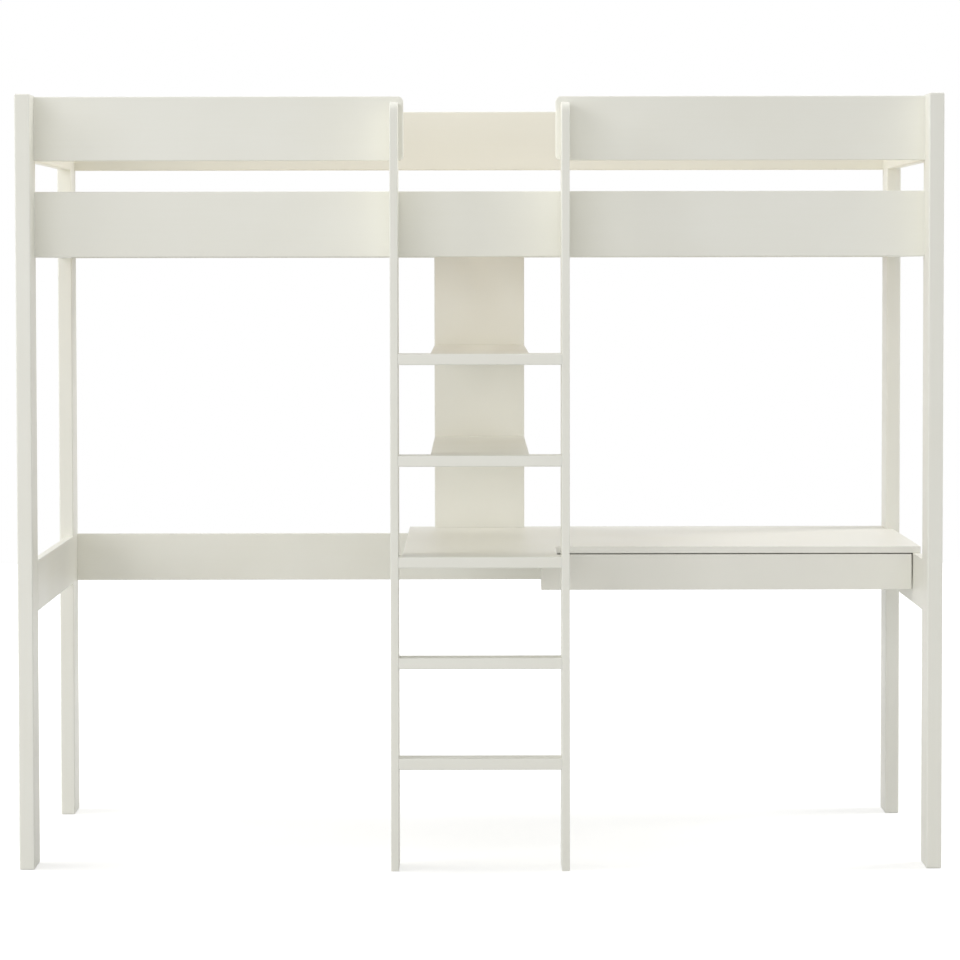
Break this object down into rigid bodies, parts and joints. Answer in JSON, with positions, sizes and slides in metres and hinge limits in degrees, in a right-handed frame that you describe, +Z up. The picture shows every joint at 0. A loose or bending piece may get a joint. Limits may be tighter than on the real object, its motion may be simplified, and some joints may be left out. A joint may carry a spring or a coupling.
{
  "type": "high sleeper bed",
  "caption": "Raised single bed on flat posts with guard rails, a fixed ladder, an L-shaped desk with a sliding drawer and a narrow bookcase underneath.",
  "frame": {"origin": "on the floor under the middle of the whole bed, ladder included", "axes": "+X along the bed to the right as seen from the ladder side, +Y from the ladder side to the wall side, +Z up"},
  "size_m": [2.08, 1.086, 1.745],
  "materials": {
    "frame_paint": "satin off-white paint on board",
    "ladder_paint": "satin off-white paint on board",
    "desk_paint": "satin off-white paint on board",
    "drawer_box_board": "off-white lacquered board",
    "slat_wood": "planed softwood",
    "runner_steel": "zinc-plated steel",
    "fastener_steel": "zinc-plated steel",
    "dowel_wood": "plain beech",
    "cap_plastic": "off-white plastic"
  },
  "bodies": {
    "bed": {"front_left_post": "frame_paint", "front_right_post": "frame_paint", "back_left_post": "frame_paint", "back_right_post": "frame_paint", "front_base_rail": "frame_paint", "back_base_rail": "frame_paint", "left_end_base_rail": "frame_paint", "right_end_base_rail": "frame_paint", "front_left_guard": "frame_paint", "front_right_guard": "frame_paint", "back_guard": "frame_paint", "left_end_guard": "frame_paint", "right_end_guard": "frame_paint", "back_board": "frame_paint", "left_end_board": "frame_paint", "right_end_board": "frame_paint", "left_stile": "ladder_paint", "right_stile": "ladder_paint", "rung_1": "ladder_paint", "rung_2": "ladder_paint", "rung_3": "ladder_paint", "rung_4": "ladder_paint", "rung_5": "ladder_paint", "desk_top": "desk_paint", "bookcase_panel": "desk_paint", "shelf_1": "desk_paint", "shelf_2": "desk_paint", "drawer_carrier": "desk_paint", "front_slat_cleat": "slat_wood", "back_left_slat_cleat": "slat_wood", "back_right_slat_cleat": "slat_wood", "slat_01": "slat_wood", "slat_02": "slat_wood", "slat_03": "slat_wood", "slat_04": "slat_wood", "slat_05": "slat_wood", "slat_06": "slat_wood", "slat_07": "slat_wood", "slat_08": "slat_wood", "slat_09": "slat_wood", "slat_10": "slat_wood", "slat_11": "slat_wood", "slat_12": "slat_wood", "slat_13": "slat_wood", "left_runner_fixed": "runner_steel", "right_runner_fixed": "runner_steel", "bed_bolts": "fastener_steel", "barrel_nuts": "fastener_steel", "wood_screws": "fastener_steel", "frame_dowels": "dowel_wood", "bolt_caps": "cap_plastic"},
    "drawer": {"drawer_front": "desk_paint", "drawer_left_side": "drawer_box_board", "drawer_right_side": "drawer_box_board", "drawer_back": "drawer_box_board", "drawer_bottom": "drawer_box_board", "drawer_dowels": "dowel_wood", "drawer_screws": "fastener_steel", "left_runner_sliding": "runner_steel", "right_runner_sliding": "runner_steel"}
  },
  "joints": [
    {"name": "drawer_slide", "type": "slide", "parent": "bed", "child": "drawer", "axis": [0, -1, 0], "range_m": [0, 0.21]}
  ]
}
